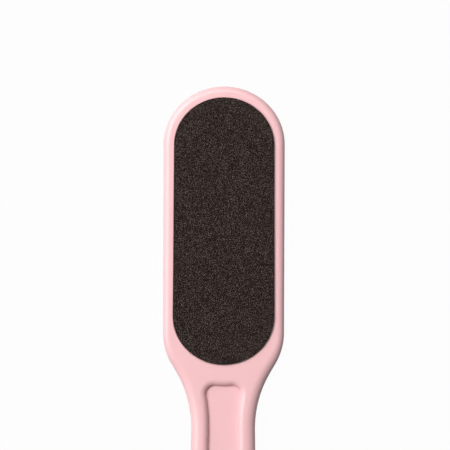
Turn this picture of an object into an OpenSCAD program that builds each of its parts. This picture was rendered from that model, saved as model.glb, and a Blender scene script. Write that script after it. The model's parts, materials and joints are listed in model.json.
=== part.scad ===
// Two-sided foot file: a one-piece moulded paddle with a laminated abrasive pad
// bonded into a shallow pocket on each face.
// It lies on its fine pad. X runs across it, Y along it towards the tip of the head,
// and Z up through the coarse pad. Millimetres.

/* [Paddle outline] */
// Length from the tip of the head to the end of the handle
body_length = 260; // [220:1:300]
// Width of the head
head_width = 50; // [44:0.5:60]
// Width of the handle at its waist
waist_width = 26.4; // [23:0.2:32]
// Radius of the rounded shoulders
shoulder_radius = 25; // [15:0.5:40]
// Radius of the hollow neck below the shoulders
neck_radius = 45; // [25:0.5:65]
// Steepest lean of the sides between shoulder and neck, in degrees
neck_lean = 30; // [22:1:45]
// Outward lean of the handle's sides below the waist, in degrees
handle_flare = 0.8; // [0.3:0.1:2]
// Height of the rounded ends of the head and the pads, as a share of their half width
round_end_share = 0.955; // [0.85:0.005:1]

/* [Moulded edge] */
// Thickness of the moulding
body_thickness = 6.4; // [5.4:0.1:9]
// Width of the rounding along the edge of the head
head_edge_width = 2.2; // [1:0.1:3.2]
// Height of the rounding along the edge of the head
head_edge_height = 2.2; // [1:0.1:3]
// Width of the rounding along the edge of the handle
handle_edge_width = 3.8; // [2.4:0.1:4.4]
// Height of the flat band at the parting line of the handle
parting_band = 0.4; // [0.1:0.1:1.2]

/* [Handle panels] */
// Width of the rim from the side of the handle to the panel floor
rim_width = 7.5; // [6.6:0.1:8.6]
// Depth of the panel floor below the face
panel_depth = 2.2; // [0.8:0.1:2.4]
// Width of the rounded mouth between the face and the panel floor
panel_mouth = 2.8; // [2.4:0.1:3.6]
// Radius of the two corners of the panel floor under the pad
panel_corner = 2.3; // [1.4:0.1:3.4]
// Face left between the pad pocket and the panel floor
pad_bridge = 8.8; // [6:0.2:13]
// Face left between the panel floor and the hang hole
eye_bridge = 11; // [7:0.5:20]

/* [Hang hole] */
// Diameter of the hang hole
hole_diameter = 6; // [4:0.5:8]
// Distance from the middle of the hang hole to the end of the handle
hole_inset = 10.5; // [9:0.5:13]
// Width of the eased edge of the hang hole
hole_ease = 0.6; // [0.2:0.1:1]

/* [Pad pockets] */
// Length of a pocket
pocket_length = 110.6; // [92:0.5:128]
// Rim above the pocket, at the tip of the head
tip_rim = 4.3; // [3.4:0.1:6]
// Rim beside the upper end of the pocket
upper_rim = 4.15; // [3.4:0.05:6]
// Rim beside the lower end of the pocket
lower_rim = 3.85; // [3.4:0.05:6]
// How far the pocket reaches past the start of the shoulders
shoulder_reach = 13.1; // [8:0.5:17]
// Depth of a pocket
pocket_depth = 0.4; // [0.2:0.05:0.8]

/* [Abrasive pads] */
// Gap between the edge of a pad and the wall of its pocket
pad_clearance = 0.15; // [0.05:0.05:0.4]
// Thickness of the adhesive film
film_thickness = 0.15; // [0.1:0.05:0.3]
// How far the adhesive film stays back from the edge of the pad
film_setback = 0.5; // [0.1:0.1:2]
// Thickness of the backing sheet
backing_thickness = 0.6; // [0.3:0.05:1]
// Thickness of the coarse grit coat
coarse_grit_thickness = 0.65; // [0.4:0.05:1]
// Thickness of the fine grit coat
fine_grit_thickness = 0.45; // [0.3:0.05:0.8]

/* [Hidden] */

// Facets of each run of an outline, and of the roundings
end_steps = 16;
shoulder_steps = 9;
neck_steps = 10;
bridge_steps = 4;
corner_steps = 6;
edge_steps = 5;
mouth_steps = 6;
hole_facets = 48;
// How far a cutter runs past the face that it cuts
overrun = 1;

plastic_colour = [0.94, 0.68, 0.70];
film_colour = [0.86, 0.80, 0.66];
backing_colour = [0.36, 0.27, 0.21];
coarse_colour = [0.16, 0.13, 0.12];
fine_colour = [0.30, 0.26, 0.24];

// Heights. The moulding hangs between the fine pad that it lies on and the coarse pad.
under_face_z = film_thickness + backing_thickness + fine_grit_thickness - pocket_depth;
top_face_z = under_face_z + body_thickness;
mid_z = (under_face_z + top_face_z) / 2;
pocket_floor_z = top_face_z - pocket_depth;
// Rise of the edge roundings, which the handle's meet at the parting band
handle_edge_rise = (body_thickness - parting_band) / 2;
head_edge_rise = min(head_edge_height, handle_edge_rise);

// Pockets, from the tip down
half_head = head_width / 2;
tip_y = body_length / 2;
pocket_top_y = tip_y - tip_rim;
pocket_end_y = pocket_top_y - pocket_length;
upper_half = half_head - upper_rim;
lower_half = half_head - lower_rim;
upper_rise = upper_half * round_end_share;
lower_rise = lower_half * round_end_share;
upper_y = pocket_top_y - upper_rise;
lower_y = pocket_end_y + lower_rise;

// Sides of the paddle: shoulder arc, straight lean, neck arc, waist and flared handle
tip_rise = half_head * round_end_share;
half_waist = waist_width / 2;
shoulder_y = pocket_end_y + shoulder_reach;
side_drop = half_head - half_waist;
lean = min(neck_lean, acos(1 - side_drop / (shoulder_radius + neck_radius)));
lean_run = (side_drop - (shoulder_radius + neck_radius) * (1 - cos(lean))) / sin(lean);
neck_y = shoulder_y - shoulder_radius * sin(lean) - lean_run * cos(lean);
waist_y = neck_y - neck_radius * sin(lean);
neck_centre = [half_waist + neck_radius, waist_y];
flare_start = neck_centre - neck_radius * [cos(handle_flare), sin(handle_flare)];

// Distance of the flared side from a place on the middle line
function side_reach(y) = flare_start.x * cos(handle_flare) + (flare_start.y - y) * sin(handle_flare);
// Radius of the round that touches both flared sides, less a rim, and ends at a given place
function end_round(end_y, rim) = (side_reach(end_y) - rim) / (1 + sin(handle_flare));

handle_end_y = -body_length / 2;
end_radius = end_round(handle_end_y, 0);
hole_y = handle_end_y + hole_inset;

// Handle panel: its top follows the end of the pad, its sides the sides of the handle
pad_end_radius = lower_half * lower_half / lower_rise;
bridge_centre = [0, pocket_end_y + pad_end_radius];
bridge_radius = pad_end_radius + pad_bridge;
panel_side_radius = neck_radius + rim_width;
corner_centre = circles_meet(bridge_centre, bridge_radius + panel_corner,
                             neck_centre, panel_side_radius + panel_corner);
panel_end_y = hole_y + hole_diameter / 2 + eye_bridge;
panel_end_radius = end_round(panel_end_y, rim_width);

function mix(a, b, t) = a + (b - a) * t;
function unit(v) = v / norm(v);
function heading(v) = atan2(v.y, v.x);
function ease(t) = let (u = min(max(t, 0), 1)) u * u * (3 - 2 * u);

// The meeting point of two circles that lies to the right of the way from the first to the second
function circles_meet(c0, r0, c1, r1) =
    let (gap = norm(c1 - c0), way = unit(c1 - c0), along = (r0 * r0 - r1 * r1 + gap * gap) / (2 * gap))
    c0 + along * way + sqrt(r0 * r0 - along * along) * [way.y, -way.x];

// Outlines are lists of spots, [place, outward normal], down the right side from the tip.
// An oval run swells outwards and a hollow run curves inwards.
function oval_run(centre, wide, high, from, to, steps, first = 0) =
    [for (i = [first:steps]) let (a = mix(from, to, i / steps))
        [centre + [wide * cos(a), high * sin(a)], unit([high * cos(a), wide * sin(a)])]];

function hollow_run(centre, radius, from, to, steps, first = 0) =
    [for (i = [first:steps]) let (a = mix(from, to, i / steps))
        [centre + radius * [cos(a), sin(a)], -[cos(a), sin(a)]]];

paddle_side = concat(
    oval_run([0, tip_y - tip_rise], half_head, tip_rise, 90, 0, end_steps),
    oval_run([half_head - shoulder_radius, shoulder_y], shoulder_radius, shoulder_radius,
             0, -lean, shoulder_steps),
    hollow_run(neck_centre, neck_radius, 180 - lean, 180 + handle_flare, neck_steps,
               lean < neck_lean ? 1 : 0),
    oval_run([0, handle_end_y + end_radius], end_radius, end_radius,
             handle_flare, -90, end_steps));

panel_side = concat(
    hollow_run(bridge_centre, bridge_radius, -90, heading(corner_centre - bridge_centre), bridge_steps),
    oval_run(corner_centre, panel_corner, panel_corner,
             heading(bridge_centre - corner_centre), heading(neck_centre - corner_centre),
             corner_steps, 1),
    hollow_run(neck_centre, panel_side_radius,
               heading(corner_centre - neck_centre), 180 + handle_flare, neck_steps, 1),
    oval_run([0, panel_end_y + panel_end_radius], panel_end_radius, panel_end_radius,
             handle_flare, -90, end_steps));

// How far the edge has grown from that of the head, 0, to that of the handle, 1
function edge_growth(y) = ease((shoulder_y - y) / (shoulder_y - neck_y));

// One level of a loft: each spot moved outwards by reach, at height z, then the left side
// as the mirror image of the right
function mirrored(side) = concat(side, [for (i = [len(side) - 2:-1:1]) [-side[i].x, side[i].y, side[i].z]]);
function level(spots, reach, z) =
    mirrored([for (s = spots) let (p = s[0] + reach * s[1]) [p.x, p.y, z]]);

// One level of the moulded edge, at an angle from 0 at the side to 90 at the face. The width
// and height of the rounding grow down the shoulders. face is 1 above and -1 below.
function edge_level(turn, face) =
    mirrored([for (s = paddle_side)
        let (growth = edge_growth(s[0].y),
             width = mix(head_edge_width, handle_edge_width, growth),
             height = mix(head_edge_rise, handle_edge_rise, growth),
             p = s[0] - width * (1 - cos(turn)) * s[1])
        [p.x, p.y, mid_z + face * (body_thickness / 2 - height * (1 - sin(turn)))]]);

// Skin over levels that run from the top down. Both ends are closed from a row of points on
// the middle line. fan is the first spot of the side that has a point of its own there.
module loft(levels, fan) {
    around = len(levels[0]);
    last = around / 2;
    spine_count = last - fan;
    function spine(i, start) = start + min(max(i, fan), last - 1) - fan;
    function spine_row(row) = [for (i = [fan:last - 1]) [0, row[i].y, row[i].z]];
    top_start = around * len(levels);
    under_start = top_start + spine_count;
    function cap_face(a, b, c, d) = c == d ? [a, b, c] : [a, b, c, d];
    function flipped(face) = [for (i = [len(face) - 1:-1:0]) face[i]];
    function cap(base, start) = [for (i = [0:last - 1]) each [
        cap_face(base + i, base + i + 1, spine(i + 1, start), spine(i, start)),
        flipped(cap_face(base + (around - i) % around, base + around - i - 1,
                         spine(i + 1, start), spine(i, start)))]];
    walls = [for (k = [0:len(levels) - 2]) for (i = [0:around - 1])
        let (j = (i + 1) % around, upper = k * around, lower = upper + around)
        [upper + j, upper + i, lower + i, lower + j]];
    polyhedron(
        points = concat([for (row = levels) each row],
                        spine_row(levels[0]), spine_row(levels[len(levels) - 1])),
        faces = concat(walls, cap(0, top_start),
                       [for (f = cap(top_start - around, under_start)) flipped(f)]),
        convexity = 6);
}

// Outline of the pad pocket, drawn in by an inset
function pad_outline(inset) = concat(
    [for (s = oval_run([0, upper_y], upper_half - inset, upper_rise - inset, 180, 0, 2 * end_steps)) s[0]],
    [for (s = oval_run([0, lower_y], lower_half - inset, lower_rise - inset, 0, -180, 2 * end_steps)) s[0]]);

module on_under_face() {
    translate([0, 0, 2 * mid_z]) mirror([0, 0, 1]) children();
}

module on_both_faces() {
    children();
    on_under_face() children();
}

module paddle_blank() {
    loft(concat([for (i = [edge_steps:-1:0]) edge_level(90 * i / edge_steps, 1)],
                [for (i = [0:edge_steps]) edge_level(90 * i / edge_steps, -1)]), 1);
}

module pocket_cutter() {
    translate([0, 0, pocket_floor_z])
        linear_extrude(pocket_depth + overrun) polygon(pad_outline(0));
}

// The dished panel. Its mouth is a quarter of an oval, level at the face and upright at the
// floor, and its first facet runs on past the face as far again.
module panel_cutter() {
    function mouth_reach(turn) = panel_mouth * (1 - sin(turn));
    function mouth_z(turn) = top_face_z - panel_depth * (1 - cos(turn));
    step = 90 / mouth_steps;
    loft(concat([level(panel_side, 2 * panel_mouth - mouth_reach(step), 2 * top_face_z - mouth_z(step))],
                [for (i = [1:mouth_steps]) level(panel_side, mouth_reach(i * step), mouth_z(i * step))]),
         bridge_steps + corner_steps);
}

module hang_hole_cutter() {
    translate([0, hole_y, under_face_z - overrun])
        cylinder(h = body_thickness + 2 * overrun, d = hole_diameter, $fn = hole_facets);
    on_both_faces()
        translate([0, hole_y, top_face_z - hole_ease])
            cylinder(h = hole_ease + overrun, d1 = hole_diameter,
                     d2 = hole_diameter + 2 * (hole_ease + overrun), $fn = hole_facets);
}

module paddle_body() {
    color(plastic_colour) difference() {
        paddle_blank();
        on_both_faces() pocket_cutter();
        on_both_faces() panel_cutter();
        hang_hole_cutter();
    }
}

// One layer of a pad, at a height above the pocket floor
module pad_layer(height, thickness, setback = 0) {
    translate([0, 0, pocket_floor_z + height])
        linear_extrude(thickness) polygon(pad_outline(pad_clearance + setback));
}

module adhesive_film() {
    color(film_colour) pad_layer(0, film_thickness, film_setback);
}

module backing_sheet() {
    color(backing_colour) pad_layer(film_thickness, backing_thickness);
}

module grit_coat(thickness) {
    pad_layer(film_thickness + backing_thickness, thickness);
}

module coarse_adhesive_film() { adhesive_film(); }
module coarse_backing_sheet() { backing_sheet(); }
module coarse_grit_coat() { color(coarse_colour) grit_coat(coarse_grit_thickness); }
module fine_adhesive_film() { on_under_face() adhesive_film(); }
module fine_backing_sheet() { on_under_face() backing_sheet(); }
module fine_grit_coat() { color(fine_colour) on_under_face() grit_coat(fine_grit_thickness); }

paddle_body();
coarse_adhesive_film();
coarse_backing_sheet();
coarse_grit_coat();
fine_adhesive_film();
fine_backing_sheet();
fine_grit_coat();
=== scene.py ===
import json
import math
import random

import bmesh
import bpy
from mathutils import Matrix, Vector

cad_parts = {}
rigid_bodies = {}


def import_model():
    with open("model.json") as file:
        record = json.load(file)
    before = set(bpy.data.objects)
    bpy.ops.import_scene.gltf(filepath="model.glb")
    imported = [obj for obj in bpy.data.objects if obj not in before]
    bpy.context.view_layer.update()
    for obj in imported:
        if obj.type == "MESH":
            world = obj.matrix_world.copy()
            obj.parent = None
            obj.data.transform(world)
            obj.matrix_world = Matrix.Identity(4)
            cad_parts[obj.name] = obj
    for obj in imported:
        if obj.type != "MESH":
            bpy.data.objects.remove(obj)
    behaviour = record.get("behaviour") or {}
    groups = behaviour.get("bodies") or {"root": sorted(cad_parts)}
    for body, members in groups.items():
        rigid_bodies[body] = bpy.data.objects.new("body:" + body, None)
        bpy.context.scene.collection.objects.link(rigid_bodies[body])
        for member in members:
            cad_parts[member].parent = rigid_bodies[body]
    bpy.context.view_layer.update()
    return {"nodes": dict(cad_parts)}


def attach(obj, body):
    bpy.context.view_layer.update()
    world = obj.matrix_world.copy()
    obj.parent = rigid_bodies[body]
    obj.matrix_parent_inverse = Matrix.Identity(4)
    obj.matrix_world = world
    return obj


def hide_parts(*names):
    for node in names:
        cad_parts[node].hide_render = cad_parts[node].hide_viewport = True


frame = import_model()
print("frame loaded:", ", ".join(sorted(frame["nodes"])))

# Shapes are drawn in millimetres and scaled to metres when their mesh is made
metresPerMm = 0.001
sameSpot = 0.001  # spots nearer to each other than this are one
underFace = 0.8  # the fine pad, which the file lies on, stands this far out of the paddle
bodyThickness = 6.4
topFace = underFace + bodyThickness
middleHeight = underFace + bodyThickness / 2
# Turns what is built for the upper face over onto the under face
turnedOver = Matrix.Translation((0, 0, 2 * middleHeight)) @ Matrix.Rotation(math.pi, 4, "Y")


class Wire:  # a node's output, which Python's operators turn into Math nodes
    def __init__(self, graph, socket):
        self.graph = graph
        self.socket = socket

    def also(self, output):  # another output of the same node
        return Wire(self.graph, self.graph.find(self.socket.node.outputs, output))

    def maths(self, operation, first, second):
        return self.graph.add("ShaderNodeMath", {"operation": operation}, {0: first, 1: second})

    def __add__(self, other):
        return self.maths("ADD", self, other)

    def __radd__(self, other):
        return self.maths("ADD", other, self)

    def __sub__(self, other):
        return self.maths("SUBTRACT", self, other)

    def __rsub__(self, other):
        return self.maths("SUBTRACT", other, self)

    def __mul__(self, other):
        return self.maths("MULTIPLY", self, other)

    def __rmul__(self, other):
        return self.maths("MULTIPLY", other, self)

    def __gt__(self, other):
        return self.maths("GREATER_THAN", self, other)


class Graph:  # a node tree, and the one method that adds a node to it
    def __init__(self, tree):
        self.tree = tree
        tree.nodes.clear()

    def find(self, sockets, key):
        if isinstance(key, str):
            for socket in sockets:
                if socket.identifier == key:
                    return socket
        return sockets[key]

    def add(self, kind, settings=None, values=None, output=0):
        node = self.tree.nodes.new(kind)
        for name, value in (settings or {}).items():
            setattr(node, name, value)
        for name, value in (values or {}).items():
            socket = self.find(node.inputs, name)
            for each in value if isinstance(value, list) else [value]:
                if isinstance(each, Wire):
                    self.tree.links.new(each.socket, socket)
                else:
                    socket.default_value = each
        return Wire(self, self.find(node.outputs, output)) if len(node.outputs) else None

    def noise(self, place, pattern):  # pattern is a scale and a detail
        scale, detail = pattern
        return self.add("ShaderNodeTexNoise", {}, {"Vector": place, "Scale": scale, "Detail": detail})

    def bump(self, height, relief):  # relief is a strength and a distance in metres
        strength, distance = relief
        return self.add("ShaderNodeBump", {},
                        {"Height": height, "Strength": strength, "Distance": distance})

    def mixColours(self, share, first, second):
        return self.add("ShaderNodeMix", {"data_type": "RGBA", "blend_type": "MIX"},
                        {"Factor_Float": share, "A_Color": first, "B_Color": second}, "Result_Color")


def makeFinish(name, describe):  # a material whose nodes describe() adds and whose shader it returns
    material = bpy.data.materials.new(name)
    material.use_nodes = True
    graph = Graph(material.node_tree)
    graph.add("ShaderNodeOutputMaterial", {}, {"Surface": describe(graph)})
    return material


def rgba(red, green, blue):
    return (red, green, blue, 1)


def addToScene(name, data):
    placed = bpy.data.objects.new(name, data)
    bpy.context.scene.collection.objects.link(placed)
    return placed


# Camera: straight down on the head, so that the handle runs out of the picture
camera = {
    "lens": 180,
    "sensor": 36,
    "pictureSide": 185.95,
    "aimX": 0.45,
    "aimY": 72.9,
    "lean": 0.22,
}


def placeCamera():
    made = bpy.data.cameras.new("camera")
    made.lens = camera["lens"]
    made.sensor_width = camera["sensor"]
    seen = addToScene("camera", made)
    distance = camera["pictureSide"] * camera["lens"] / camera["sensor"]
    seen.location = Vector((camera["aimX"], camera["aimY"], middleHeight + distance)) * metresPerMm
    seen.rotation_euler = (0, 0, math.radians(camera["lean"]))
    bpy.context.scene.camera = seen


placeCamera()
print("camera placed")

# Studio, in metres: softboxes at the left and beyond the tip, and a white floor
studio = {
    "softboxes": {
        "sideSoftbox": {"toward": (-0.66, 0.18, 0.73), "size": (1.4, 0.28), "radiance": 10.4},
        "tipSoftbox": {"toward": (-0.14, 0.56, 0.82), "size": (1, 0.2), "radiance": 11.5},
        "highSoftbox": {"toward": (-0.34, 0.18, 0.92), "size": (0.4, 0.3), "radiance": 8.5},
        "lowSoftbox": {"toward": (-0.67, 0.60, 0.44), "size": (1.4, 0.4), "radiance": 2.6},
    },
    "distance": 1.3,
    "aim": (0, 0.07, 0.004),
    "roundLight": 0.02,
    "floorSide": 6,
    "floorColour": rgba(0.35, 0.35, 0.35),
    "floorWhite": 0.97,
}


def seenDirectly(graph):  # 1 for rays from the camera and for those that gloss or glass sends on
    path = graph.add("ShaderNodeLightPath", output="Is Camera Ray")
    return (path + path.also("Is Glossy Ray") + path.also("Is Transmission Ray")) > 0.5


def hangSoftboxes():
    aim = Vector(studio["aim"])
    for name, box in studio["softboxes"].items():
        lamp = bpy.data.lights.new(name, "AREA")
        lamp.shape = "RECTANGLE"
        lamp.size, lamp.size_y = box["size"]
        lamp.energy = box["radiance"] * math.pi * lamp.size * lamp.size_y
        placed = addToScene(name, lamp)
        away = Vector(box["toward"]).normalized()
        placed.location = aim + away * studio["distance"]
        placed.rotation_euler = away.to_track_quat("Z", "Y").to_euler()
        placed.visible_camera = False


def lightRound():  # a white backdrop that hardly lights the object
    world = bpy.data.worlds.new("studio")
    world.use_nodes = True
    graph = Graph(world.node_tree)
    seen = seenDirectly(graph)
    strength = seen + (1 - seen) * studio["roundLight"]
    light = graph.add("ShaderNodeBackground", {}, {"Color": rgba(1, 1, 1), "Strength": strength})
    graph.add("ShaderNodeOutputWorld", {}, {"Surface": light})
    bpy.context.scene.world = world
    bpy.context.scene.view_settings.view_transform = "Standard"


def floorNodes(graph):
    matt = graph.add("ShaderNodeBsdfDiffuse", {}, {"Color": studio["floorColour"]})
    glow = graph.add("ShaderNodeEmission", {}, {"Color": rgba(1, 1, 1), "Strength": 1})
    share = seenDirectly(graph) * studio["floorWhite"]
    return graph.add("ShaderNodeMixShader", {}, {0: share, 1: matt, 2: glow})


def layFloor():
    half = studio["floorSide"] / 2
    corners = [(-half, -half, 0), (half, -half, 0), (half, half, 0), (-half, half, 0)]
    mesh = bpy.data.meshes.new("floor")
    mesh.from_pydata(corners, [], [(0, 1, 2, 3)])
    mesh.materials.append(makeFinish("floorWhite", floorNodes))
    addToScene("floor", mesh)


hangSoftboxes()
lightRound()
layFloor()
print("studio lit")


# Outlines are lists of spots, (place, outward normal), down the right side from the tip
def ease(share):
    share = min(max(share, 0), 1)
    return share * share * (3 - 2 * share)


def swell(centre, wide, high, start, end, steps):  # a bulge: part of an oval, between two angles
    spots = []
    for i in range(steps + 1):
        angle = math.radians(start + (end - start) * i / steps)
        across, up = math.cos(angle), math.sin(angle)
        spots.append((Vector((centre[0] + wide * across, centre[1] + high * up)),
                      Vector((high * across, wide * up)).normalized()))
    return spots


def hollow(centre, radius, start, end, steps):  # part of a circle that lies outside the outline
    return [(place, -normal) for place, normal in swell(centre, radius, radius, start, end, steps)]


def heading(step):
    return math.degrees(math.atan2(step[1], step[0]))


def circlesMeet(first, firstRadius, second, secondRadius):  # the lower of the two places
    gap = second - first
    way = gap.normalized()
    along = (firstRadius ** 2 - secondRadius ** 2 + gap.length ** 2) / (2 * gap.length)
    return first + along * way + math.sqrt(firstRadius ** 2 - along ** 2) * Vector((way.y, -way.x))


def joinRuns(runs, longest):  # one line of spots, with more of them on its straights
    line = [spot for run in runs for spot in run]
    spots = [line[0]]
    for place, normal in line[1:]:
        before, facing = spots[-1]
        gap = (place - before).length
        if gap < sameSpot:
            continue
        count = math.ceil(gap / longest)
        spots += [(before.lerp(place, i / count), facing.lerp(normal, i / count).normalized())
                  for i in range(1, count)]
        spots.append((place, normal))
    return spots


def bothSides(spots):  # the right side's spots, then the left side's
    left = [(Vector((-place.x, place.y)), Vector((-normal.x, normal.y))) for place, normal in spots]
    return spots + left[-2:0:-1]


def quarterTurns(steps):
    return [math.pi / 2 * i / steps for i in range(steps + 1)]


class Shell:  # rings of points, and the faces between them
    def __init__(self):
        self.mesh = bmesh.new()

    def ring(self, points):
        return [self.mesh.verts.new(point) for point in points]

    def bridge(self, rings):
        for upper, lower in zip(rings, rings[1:]):
            for i in range(len(upper)):
                self.mesh.faces.new((upper[i - 1], upper[i], lower[i], lower[i - 1]))

    def fill(self, rings):  # a flat face inside the first ring and round the others
        edges = [self.mesh.edges.get((ring[i - 1], ring[i])) for ring in rings for i in range(len(ring))]
        bmesh.ops.triangle_fill(self.mesh, use_beauty=True, use_dissolve=False, edges=edges)

    def finish(self, name, material, place=Matrix.Identity(4), sharpAngle=40):
        bmesh.ops.recalc_face_normals(self.mesh, faces=self.mesh.faces)
        self.mesh.transform(Matrix.Scale(metresPerMm, 4) @ place)
        for face in self.mesh.faces:
            face.smooth = True
        for edge in self.mesh.edges:
            edge.smooth = edge.calc_face_angle(0) < math.radians(sharpAngle)
        mesh = bpy.data.meshes.new(name)
        self.mesh.to_mesh(mesh)
        self.mesh.free()
        mesh.materials.append(material)
        return addToScene(name, mesh)


# Paddle: the solid's sizes, but its edges are a little wider and its panel flares a little less
paddle = {
    "length": 260,
    "headWidth": 50,
    "waistWidth": 26.4,
    "shoulderRadius": 25,
    "neckRadius": 45,
    "neckLean": 30,
    "handleFlare": 0.8,
    "roundEndShare": 0.955,
    "headEdge": (2.75, 2.2),  # width and height of the rounded edge
    "handleEdge": (4.1, 3.0),
    "rimWidth": 7.25,
    "panelDepth": 2.2,
    "panelMouth": 2.7,
    "panelCorner": 3.5,
    "panelSideRadius": 78,
    "padBridge": 8.8,
    "eyeBridge": 11,
    "holeRadius": 3,
    "holeInset": 10.5,
    "holeEase": 0.6,
    "lipRound": 0.05,
    "flatMargin": 0.2,
    "partingGroove": (0.06, 0.04),  # half its width, and its depth
    "gateRadius": 1.5,
    "gateDepth": 0.14,
    "gateSteepness": 1.6,
    "ejectorMarks": (-22, -52, -82),
    "ejectorRadius": 2,
    "ejectorDepth": 0.05,
    "longestStep": 2.5,
    "steps": {"end": 56, "shoulder": 24, "neck": 28, "bridge": 12, "corner": 12, "edge": 12,
              "mouth": 12, "hole": 96, "ease": 8, "lip": 4, "mark": 48},
}

# Pocket: a little smaller than the solid's on each side
pocket = {
    "length": 110.25,
    "depth": 0.4,
    "tipRim": 4.48,
    "upperRim": 4.28,
    "lowerRim": 3.98,
    "shoulderReach": 13.1,
    "longestStep": 2.5,
    "endSteps": 112,
}

tipY = paddle["length"] / 2
handleEndY = -tipY
halfHead = paddle["headWidth"] / 2
pocketTopY = tipY - pocket["tipRim"]
pocketEndY = pocketTopY - pocket["length"]
upperHalf = halfHead - pocket["upperRim"]
lowerHalf = halfHead - pocket["lowerRim"]
upperRise = upperHalf * paddle["roundEndShare"]
lowerRise = lowerHalf * paddle["roundEndShare"]
upperY = pocketTopY - upperRise
lowerY = pocketEndY + lowerRise
shoulderY = pocketEndY + pocket["shoulderReach"]
leanTurn = math.radians(paddle["neckLean"])
flareTurn = math.radians(paddle["handleFlare"])
flareWay = Vector((math.cos(flareTurn), math.sin(flareTurn)))
sideDrop = halfHead - paddle["waistWidth"] / 2
bendDrop = (paddle["shoulderRadius"] + paddle["neckRadius"]) * (1 - math.cos(leanTurn))
leanRun = (sideDrop - bendDrop) / math.sin(leanTurn)
neckY = shoulderY - paddle["shoulderRadius"] * math.sin(leanTurn) - leanRun * math.cos(leanTurn)
neckCentre = Vector((paddle["waistWidth"] / 2 + paddle["neckRadius"],
                     neckY - paddle["neckRadius"] * math.sin(leanTurn)))
flareStart = neckCentre - paddle["neckRadius"] * flareWay
holeY = handleEndY + paddle["holeInset"]


def level(face, below):  # height of what lies below a face, 1 for the upper and -1 for the under one
    return middleHeight + face * (bodyThickness / 2 - below)


def endRound(endY, rim):  # radius of the round that touches both flared sides and ends there
    reach = flareStart.x * math.cos(flareTurn) + (flareStart.y - endY) * math.sin(flareTurn)
    return (reach - rim) / (1 + math.sin(flareTurn))


def paddleSide():
    steps = paddle["steps"]
    tipRise = halfHead * paddle["roundEndShare"]
    shoulder, lean, flare = paddle["shoulderRadius"], paddle["neckLean"], paddle["handleFlare"]
    endRadius = endRound(handleEndY, 0)
    return joinRuns([
        swell((0, tipY - tipRise), halfHead, tipRise, 90, 0, steps["end"]),
        swell((halfHead - shoulder, shoulderY), shoulder, shoulder, 0, -lean, steps["shoulder"]),
        hollow(neckCentre, paddle["neckRadius"], 180 - lean, 180 + flare, steps["neck"]),
        swell((0, handleEndY + endRadius), endRadius, endRadius, flare, -90, steps["end"]),
    ], paddle["longestStep"])


def panelSide():
    steps = paddle["steps"]
    corner, flare = paddle["panelCorner"], paddle["handleFlare"]
    padEndRadius = lowerHalf ** 2 / lowerRise
    bridgeCentre = Vector((0, pocketEndY + padEndRadius))
    bridgeRadius = padEndRadius + paddle["padBridge"]
    sideRadius = paddle["panelSideRadius"]
    sideCentre = flareStart + (sideRadius - paddle["rimWidth"]) * flareWay
    cornerCentre = circlesMeet(bridgeCentre, bridgeRadius + corner, sideCentre, sideRadius + corner)
    endY = holeY + paddle["holeRadius"] + paddle["eyeBridge"]
    endRadius = endRound(endY, paddle["rimWidth"])
    return joinRuns([
        hollow(bridgeCentre, bridgeRadius, -90, heading(cornerCentre - bridgeCentre), steps["bridge"]),
        swell(cornerCentre, corner, corner, heading(bridgeCentre - cornerCentre),
              heading(sideCentre - cornerCentre), steps["corner"]),
        hollow(sideCentre, sideRadius, heading(cornerCentre - sideCentre), 180 + flare, steps["neck"]),
        swell((0, endY + endRadius), endRadius, endRadius, flare, -90, steps["end"]),
    ], paddle["longestStep"])


def padRing(inset, height):  # the pad's outline, drawn in by an inset
    steps = pocket["endSteps"]
    upper = swell((0, upperY), upperHalf - inset, upperRise - inset, 180, 0, steps)
    lower = swell((0, lowerY), lowerHalf - inset, lowerRise - inset, 0, -180, steps)
    spots = joinRuns([upper, lower, upper[:1]], pocket["longestStep"])
    return [(*place, height) for place, normal in spots[:-1]]


def sideRing(spots, reach, height):
    return [(*(place + reach * normal), height) for place, normal in spots]


def circleRing(y, radius, height, steps):
    turns = [2 * math.pi * i / steps for i in range(steps)]
    return [(radius * math.sin(turn), y + radius * math.cos(turn), height) for turn in turns]


def edgeRing(outline, turn, face, extra=0):  # one level of the edge, which grows down the shoulders
    points = []
    for place, normal in outline:
        growth = ease((shoulderY - place.y) / (shoulderY - neckY))
        width, height = (head + (handle - head) * growth
                         for head, handle in zip(paddle["headEdge"], paddle["handleEdge"]))
        z = level(face, height * (1 - math.sin(turn)))
        inset = width * (1 - math.cos(turn)) + extra
        gap = Vector((place.x, place.y - handleEndY, z - middleHeight)).length / paddle["gateRadius"]
        inset += paddle["gateDepth"] * ease(paddle["gateSteepness"] * (1 - gap))
        points.append((*(place - inset * normal), z))
    return points


def mouldEdge(shell):  # from one face to the other, past the parting line; gives each face's outer ring
    outline = bothSides(paddleSide())
    turns = quarterTurns(paddle["steps"]["edge"])
    half, depth = paddle["partingGroove"]
    flats = {face: shell.ring(edgeRing(outline, turns[-1], face, paddle["flatMargin"]))
             for face in (1, -1)}
    upper = [shell.ring(edgeRing(outline, turn, 1)) for turn in reversed(turns)]
    groove = [shell.ring(sideRing(outline, -sunk, middleHeight + rise))
              for sunk, rise in ((0, half), (depth, 0), (0, -half))]
    under = [shell.ring(edgeRing(outline, turn, -1)) for turn in turns]
    shell.bridge([flats[1], *upper, *groove, *under, flats[-1]])
    return flats


def sinkPocket(shell, face):  # a softened lip, a straight wall and a flat floor
    lip = paddle["lipRound"]
    rings = [shell.ring(padRing(-lip - paddle["flatMargin"], level(face, 0)))]
    rings += [shell.ring(padRing(-lip * (1 - math.sin(turn)), level(face, lip * (1 - math.cos(turn)))))
              for turn in quarterTurns(paddle["steps"]["lip"])]
    rings.append(shell.ring(padRing(0, level(face, pocket["depth"]))))
    shell.bridge(rings)
    shell.fill([rings[-1]])
    return rings[0]


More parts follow.
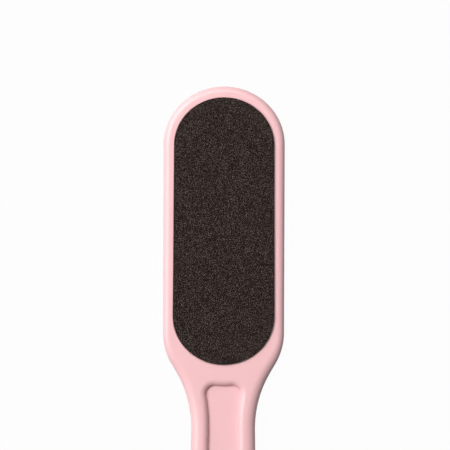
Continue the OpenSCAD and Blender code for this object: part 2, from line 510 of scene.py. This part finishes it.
def sinkPanel(shell, face):  # a quarter-oval mouth that runs down to a flat floor
    panel = bothSides(panelSide())
    mouth, depth, margin = paddle["panelMouth"], paddle["panelDepth"], paddle["flatMargin"]
    profile = [(mouth + margin, 0)]
    profile += [(mouth * (1 - math.sin(turn)), depth * (1 - math.cos(turn)))
                for turn in quarterTurns(paddle["steps"]["mouth"])]
    profile.append((-margin, depth))
    rings = [shell.ring(sideRing(panel, reach, level(face, drop))) for reach, drop in profile]
    shell.bridge(rings)
    marks = [sinkMark(shell, y, level(face, depth), level(face, depth + paddle["ejectorDepth"]))
             for y in paddle["ejectorMarks"] if face < 0]
    shell.fill([rings[-1], *marks])
    return rings[0]


def sinkMark(shell, y, rim, floor):  # the round mark of an ejector pin
    radius, steps = paddle["ejectorRadius"], paddle["steps"]["mark"]
    mark = [shell.ring(circleRing(y, radius + paddle["ejectorDepth"], rim, steps)),
            shell.ring(circleRing(y, radius, floor, steps))]
    shell.bridge(mark)
    shell.fill([mark[1]])
    return mark[0]


def easeHole(shell, face):  # the hang hole's rounded edge, from the face down to its bore
    easing, radius, steps = paddle["holeEase"], paddle["holeRadius"], paddle["steps"]["hole"]
    margin = paddle["flatMargin"]
    rings = [shell.ring(circleRing(holeY, radius + easing + margin, level(face, 0), steps))]
    for turn in quarterTurns(paddle["steps"]["ease"]):
        rings.append(shell.ring(circleRing(holeY, radius + easing * (1 - math.sin(turn)),
                                           level(face, easing * (1 - math.cos(turn))), steps)))
    shell.bridge(rings)
    return rings[0], rings[-1]


def buildPaddle(material):
    shell = Shell()
    flats = mouldEdge(shell)
    bores = []
    for face, flat in flats.items():
        pocketEdge = sinkPocket(shell, face)
        panelEdge = sinkPanel(shell, face)
        holeEdge, bore = easeHole(shell, face)
        shell.fill([flat, pocketEdge, panelEdge, holeEdge])
        bores.append(bore)
    shell.bridge(bores)
    return shell.finish("paddle_moulding", material)


plastic = {
    "pink": rgba(0.85, 0.505, 0.52),
    "paler": rgba(0.86, 0.515, 0.53),
    "roughness": 0.305,
    "roughnessSpread": 0.04,
    "gloss": 0.45,
    "clouds": (45, 3),
    "ripple": (260, 2),
    "rippleRelief": (0.02, 0.0002),
}


def plasticNodes(graph):
    place = graph.add("ShaderNodeTexCoord", output="Object")
    clouds = graph.noise(place, plastic["clouds"])
    ripple = graph.noise(place, plastic["ripple"])
    return graph.add("ShaderNodeBsdfPrincipled", {}, {
        "Base Color": graph.mixColours(clouds, plastic["pink"], plastic["paler"]),
        "Specular IOR Level": plastic["gloss"],
        "Roughness": plastic["roughness"] + plastic["roughnessSpread"] * (clouds - 0.5),
        "Normal": graph.bump(ripple, plastic["rippleRelief"]),
    })


paddlePiece = buildPaddle(makeFinish("satinPinkPlastic", plasticNodes))
print("paddle moulded:", len(paddlePiece.data.polygons), "faces")

# Pads: an adhesive film, a backing sheet and a coat of grit, in each pocket
pad = {
    "clearance": 0.15,
    "film": 0.15,
    "backing": 0.6,
    "edgeRound": 0.06,
    "roundSteps": 4,
    "flatMargin": 0.05,
}
filmTop = topFace - pocket["depth"] + pad["film"]
backingTop = filmTop + pad["backing"]


def buildSheet(name, bottom, top, material, place=Matrix.Identity(4)):
    shell = Shell()
    inset, corner = pad["clearance"], pad["edgeRound"]
    rings = [padRing(inset + corner + pad["flatMargin"], top)]
    rings += [padRing(inset + corner * (1 - math.sin(turn)), top - corner * (1 - math.cos(turn)))
              for turn in quarterTurns(pad["roundSteps"])]
    rings += [padRing(inset, bottom)]
    rings = [shell.ring(ring) for ring in rings]
    shell.bridge(rings)
    shell.fill([rings[0]])
    shell.fill([rings[-1]])
    return shell.finish(name, material, place)


coarse = {
    "piece": "coarse_grit_field",
    "coat": 0.65,
    "bed": 0.38,
    "corners": 6,
    "spacing": 0.36,
    "grain": 0.43,
    "drop": 0.12,
    "seed": 11,
    "dark": rgba(0.0103, 0.007, 0.0058),
    "light": rgba(0.38, 0.288, 0.26),
    "roughness": 0.6,
}

fine = {
    "piece": "fine_grit_field",
    "coat": 0.45,
    "bed": 0.28,
    "corners": 4,
    "spacing": 0.24,
    "grain": 0.31,
    "drop": 0.05,
    "seed": 23,
    "dark": rgba(0.020, 0.015, 0.013),
    "light": rgba(0.26, 0.21, 0.19),
    "roughness": 0.65,
}

# What both coats share: how grains are crushed, strewn and toned, and their surface
grit = {
    "shapes": 12,
    "skew": 0.42,
    "reach": (0.36, 0.5),
    "facingUp": 0.99,
    "crowding": 4,
    "turn": 3.14,
    "slimmest": 0.78,
    "darkest": 0.05,
    "gloss": 0.02,
    "speck": (9000, 2),
    "speckRelief": (0.3, 0.00003),
    "speckRoughness": 0.2,
}

cornerWays = {
    4: [(1, 1, 1), (1, -1, -1), (-1, 1, -1), (-1, -1, 1)],
    6: [(1, 0, 0), (-1, 0, 0), (0, 1, 0), (0, -1, 0), (0, 0, 1), (0, 0, -1)],
}


def grainShapes(corners, seed):  # a few crushed grains, each of which fits in a ball one unit across
    draw = random.Random(seed)
    shapes = bpy.data.collections.new("grainShapes")
    for number in range(grit["shapes"]):
        mesh = bmesh.new()
        turn = draw.uniform(0, 2 * math.pi)
        for way in cornerWays[corners]:
            skew = Vector([draw.uniform(-grit["skew"], grit["skew"]) for axis in range(3)])
            direction = Vector(way).normalized() + skew
            mesh.verts.new(direction.normalized() * draw.uniform(*grit["reach"]))
        bmesh.ops.convex_hull(mesh, input=mesh.verts)
        mesh.transform(Matrix.Rotation(turn, 4, "Z"))
        bmesh.ops.recalc_face_normals(mesh, faces=mesh.faces)
        data = bpy.data.meshes.new("grain")
        mesh.to_mesh(data)
        mesh.free()
        shapes.objects.link(bpy.data.objects.new("grain", data))
    return shapes


def scatterTree():  # strews grains over the upward faces of a sheet
    tree = bpy.data.node_groups.new("scatterGrit", "GeometryNodeTree")
    graph = Graph(tree)
    for name, kind in (("Sheet", "Geometry"), ("Shapes", "Collection"), ("Spacing", "Float"),
                       ("Grain", "Float"), ("Tip Height", "Float"), ("Drop", "Float"), ("Seed", "Int"),
                       ("Finish", "Material")):
        tree.interface.new_socket(name=name, in_out="INPUT", socket_type="NodeSocket" + kind)
    tree.interface.new_socket(name="Coat", in_out="OUTPUT", socket_type="NodeSocketGeometry")
    sheet = graph.add("NodeGroupInput", output="Sheet")
    spacing, grain, seed = sheet.also("Spacing"), sheet.also("Grain"), sheet.also("Seed")

    def draw(low, high, drawSeed):  # a random number for each grain
        return graph.add("FunctionNodeRandomValue", {"data_type": "FLOAT"},
                         {"Min_001": low, "Max_001": high, "Seed": drawSeed}, "Value_001")

    def drawVector(low, high, drawSeed):
        return graph.add("FunctionNodeRandomValue", {"data_type": "FLOAT_VECTOR"},
                         {"Min": (low, low, low), "Max": (high, high, high), "Seed": drawSeed}, "Value")

    facing = graph.add("GeometryNodeInputNormal")
    upward = graph.add("ShaderNodeSeparateXYZ", {}, {"Vector": facing}, "Z")
    density = graph.add("ShaderNodeMath", {"operation": "DIVIDE"},
                        {0: grit["crowding"], 1: spacing * spacing})
    points = graph.add("GeometryNodeDistributePointsOnFaces", {"distribute_method": "POISSON"}, {
        "Mesh": sheet, "Selection": upward > grit["facingUp"], "Distance Min": spacing,
        "Density Max": density, "Seed": seed})
    spot = graph.add("GeometryNodeInputPosition")
    spotX = graph.add("ShaderNodeSeparateXYZ", {}, {"Vector": spot}, "X")
    height = sheet.also("Tip Height") - 0.5 * grain - sheet.also("Drop") * draw(0, 1, seed)
    raised = graph.add("ShaderNodeCombineXYZ", {}, {"X": spotX, "Y": spotX.also("Y"), "Z": height})
    points = graph.add("GeometryNodeSetPosition", {}, {"Geometry": points, "Position": raised})
    turn = drawVector(-grit["turn"], grit["turn"], seed + 1)
    stretch = drawVector(grit["slimmest"], 1, seed + 2)
    size = graph.add("ShaderNodeVectorMath", {"operation": "SCALE"}, {0: stretch, "Scale": grain})
    shapes = graph.add("GeometryNodeCollectionInfo", {}, {
        "Collection": sheet.also("Shapes"), "Separate Children": True, "Reset Children": True})
    placed = graph.add("GeometryNodeInstanceOnPoints", {}, {
        "Points": points, "Instance": shapes, "Pick Instance": True, "Rotation": turn, "Scale": size})
    tone = draw(grit["darkest"], 1, seed + 3)
    toned = graph.add("GeometryNodeStoreNamedAttribute", {"data_type": "FLOAT", "domain": "INSTANCE"},
                      {"Geometry": placed, "Name": "grainTone", "Value": tone})
    coat = graph.add("GeometryNodeJoinGeometry", {}, {"Geometry": [toned, sheet]})
    coat = graph.add("GeometryNodeRealizeInstances", {}, {"Geometry": coat})
    coat = graph.add("GeometryNodeSetMaterial", {}, {"Geometry": coat, "Material": sheet.also("Finish")})
    graph.add("NodeGroupOutput", {}, {"Coat": coat})
    return tree


def strewGrit(coat, material, place):
    sheet = buildSheet(coat["piece"] + "_bed", backingTop, backingTop + coat["bed"], material)
    tree = scatterTree()
    modifier = sheet.modifiers.new("grit", "NODES")
    modifier.node_group = tree
    values = {
        "Shapes": grainShapes(coat["corners"], coat["seed"]),
        "Spacing": coat["spacing"] * metresPerMm,
        "Grain": coat["grain"] * metresPerMm,
        "Tip Height": (backingTop + coat["coat"]) * metresPerMm,
        "Drop": coat["drop"] * metresPerMm,
        "Seed": coat["seed"],
        "Finish": material,
    }
    for socket in tree.interface.items_tree:
        if socket.in_out == "INPUT" and socket.name in values:
            modifier[socket.identifier] = values[socket.name]
    graph = bpy.context.evaluated_depsgraph_get()
    mesh = bpy.data.meshes.new_from_object(sheet.evaluated_get(graph), preserve_all_data_layers=True,
                                           depsgraph=graph)
    mesh.name = coat["piece"]
    mesh.transform(Matrix.Scale(metresPerMm, 4) @ place @ Matrix.Scale(1 / metresPerMm, 4))
    bpy.data.objects.remove(sheet)
    for shape in list(values["Shapes"].objects):
        bpy.data.objects.remove(shape)
    bpy.data.collections.remove(values["Shapes"])
    bpy.data.node_groups.remove(tree)
    print(coat["piece"], "strewn:", sum(len(f.vertices) - 2 for f in mesh.polygons), "triangles")
    return addToScene(coat["piece"], mesh)


def gritNodes(coat):
    def describe(graph):
        place = graph.add("ShaderNodeTexCoord", output="Object")
        tone = graph.add("ShaderNodeAttribute", {"attribute_name": "grainTone"}, output="Fac")
        speck = graph.noise(place, grit["speck"])
        return graph.add("ShaderNodeBsdfPrincipled", {}, {
            "Base Color": graph.mixColours(tone, coat["dark"], coat["light"]),
            "Roughness": coat["roughness"] + grit["speckRoughness"] * (speck - 0.5),
            "Specular IOR Level": grit["gloss"],
            "Normal": graph.bump(speck, grit["speckRelief"]),
        })
    return describe


backing = {
    "brown": rgba(0.060, 0.035, 0.024),
    "thread": rgba(0.11, 0.07, 0.05),
    "roughness": 0.85,
    "fibreSheen": 0.2,
    "fibre": (2600, 3),
    "weaveScale": 1500,
    "weaveDistortion": 2,
    "weaveShare": 0.4,
    "relief": (0.5, 0.00005),
}


def backingNodes(graph):
    place = graph.add("ShaderNodeTexCoord", output="Object")
    fibre = graph.noise(place, backing["fibre"])
    weave = graph.add("ShaderNodeTexWave", {"bands_direction": "Z"}, {
        "Vector": place, "Scale": backing["weaveScale"], "Distortion": backing["weaveDistortion"]})
    return graph.add("ShaderNodeBsdfPrincipled", {}, {
        "Base Color": graph.mixColours(fibre, backing["brown"], backing["thread"]),
        "Roughness": backing["roughness"] - backing["fibreSheen"] * fibre,
        "Normal": graph.bump(fibre + backing["weaveShare"] * weave, backing["relief"]),
    })


film = {
    "tan": rgba(0.50, 0.42, 0.30),
    "clear": rgba(0.60, 0.52, 0.38),
    "roughness": 0.25,
    "bubbleRoughness": 0.1,
    "bubbles": (900, 2),
    "relief": (0.2, 0.00005),
}


def filmNodes(graph):
    place = graph.add("ShaderNodeTexCoord", output="Object")
    bubbles = graph.noise(place, film["bubbles"])
    return graph.add("ShaderNodeBsdfPrincipled", {}, {
        "Base Color": graph.mixColours(bubbles, film["tan"], film["clear"]),
        "Roughness": film["roughness"] + film["bubbleRoughness"] * bubbles,
        "Normal": graph.bump(bubbles, film["relief"]),
    })


backingFinish = makeFinish("clothBacking", backingNodes)
filmFinish = makeFinish("tackyFilm", filmNodes)
pieces = [(paddlePiece, ["paddle_body"], "moulded_plastic")]
for side, coat, place in (("coarse", coarse, Matrix.Identity(4)), ("fine", fine, turnedOver)):
    sheet = buildSheet(side + "_backing", filmTop, backingTop, backingFinish, place)
    pieces.append((sheet, [side + "_backing_sheet"], "backing"))
    field = strewGrit(coat, makeFinish(side + "Grit", gritNodes(coat)), place)
    pieces.append((field, [side + "_grit_coat"], side + "_grit"))
    filmNode = frame["nodes"][side + "_adhesive_film"]
    filmNode.data.materials.clear()
    filmNode.data.materials.append(filmFinish)

for piece, nodes, slot in pieces:
    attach(piece, "root")
    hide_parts(*nodes)
print("pieces placed:", ", ".join(piece.name for piece, nodes, slot in pieces))
